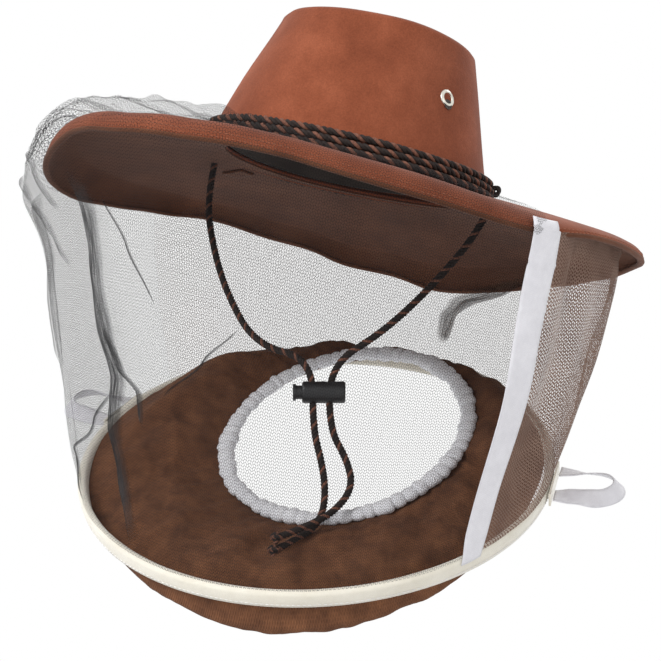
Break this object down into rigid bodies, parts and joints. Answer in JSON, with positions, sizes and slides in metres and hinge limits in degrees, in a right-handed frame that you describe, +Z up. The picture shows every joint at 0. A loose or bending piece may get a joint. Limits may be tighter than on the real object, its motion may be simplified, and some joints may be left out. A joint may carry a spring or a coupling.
{
  "type": "beekeeping hat with veil",
  "caption": "Wide-brimmed felt hat with a net veil on a sewn-in hoop, a cloth yoke with a ruffled neck opening, underarm loops and a chin cord with a sprung lock.",
  "frame": {"origin": "centre of the head opening, where the crown meets the brim", "axes": "+Z up the crown, -Y towards the front of the hat, +X to the wearer's left"},
  "size_m": [0.4165, 0.4166, 0.4009],
  "materials": {
    "suede": "suede",
    "sweatband": "woven",
    "metal": "satin",
    "lining": "woven",
    "rope": "twisted cord",
    "black_elastic": "gathered elastic",
    "black_net": "open mesh",
    "brown_net": "open mesh",
    "white_tape": "woven tape",
    "wire": "drawn",
    "casing": "satin tape",
    "yoke_cloth": "plain weave",
    "white_elastic": "pleated",
    "lock_plastic": "moulded"
  },
  "bodies": {
    "hat": {"crown_wall": "suede", "crown_top": "suede", "sweatband": "sweatband", "eyelet_left": "metal", "eyelet_right": "metal", "brim": "suede", "brim_lining": "lining", "brim_binding": "lining", "band_rope_lower": "rope", "band_rope_middle": "rope", "band_rope_upper": "rope", "net_top_elastic": "black_elastic", "band_knot": "rope", "brim_net": "black_net", "front_net": "black_net", "back_net": "brown_net", "side_tape": "white_tape", "side_fold": "black_net", "chin_cord_left": "rope", "chin_cord_right": "rope", "cord_tip_left": "rope", "cord_tip_right": "rope", "cord_tab_left": "lining", "cord_tab_right": "lining"},
    "veil_hoop": {"hoop_wire": "wire", "hoop_sleeve": "metal", "hoop_casing": "casing", "yoke": "yoke_cloth", "neck_elastic": "white_elastic", "neck_ruffle": "white_elastic", "loop_tab_left": "casing", "loop_tab_right": "casing"},
    "underarm_loop_left": {"underarm_loop_left": "white_tape"},
    "underarm_loop_right": {"underarm_loop_right": "white_tape"},
    "cord_lock": {"lock_housing": "lock_plastic", "lock_spring": "wire"},
    "lock_button": {"lock_button": "lock_plastic"}
  },
  "joints": [
    {"name": "veil_raise", "type": "hinge", "parent": "hat", "child": "veil_hoop", "pos_m": [-0.02995, 0.13389, -0.10955], "axis": [-0.9563, -0.2924, 0], "range_deg": [0, 30], "deforming": ["front_net", "back_net", "side_tape", "side_fold", "chin_cord_left", "chin_cord_right", "cord_tip_left", "cord_tip_right"]},
    {"name": "underarm_left_swing", "type": "hinge", "parent": "veil_hoop", "child": "underarm_loop_left", "pos_m": [0.1527, 0.08314, -0.18748], "axis": [0.3948, -0.6974, -0.5981], "range_deg": [-40, 40]},
    {"name": "underarm_right_swing", "type": "hinge", "parent": "veil_hoop", "child": "underarm_loop_right", "pos_m": [-0.153, -0.01032, -0.18748], "axis": [-0.0627, 0.7989, 0.5981], "range_deg": [-40, 40]},
    {"name": "cord_lock_slide", "type": "slide", "parent": "hat", "child": "cord_lock", "axis": [0.081, 0.206, -0.9752], "range_m": [0, 0.008]},
    {"name": "lock_button_press", "type": "slide", "parent": "cord_lock", "child": "lock_button", "axis": [0.7871, 0.5871, 0.189], "range_m": [0, 0.003], "stiffness_N_per_m": 400, "springref_m": -0.002, "deforming": ["lock_spring"]}
  ]
}
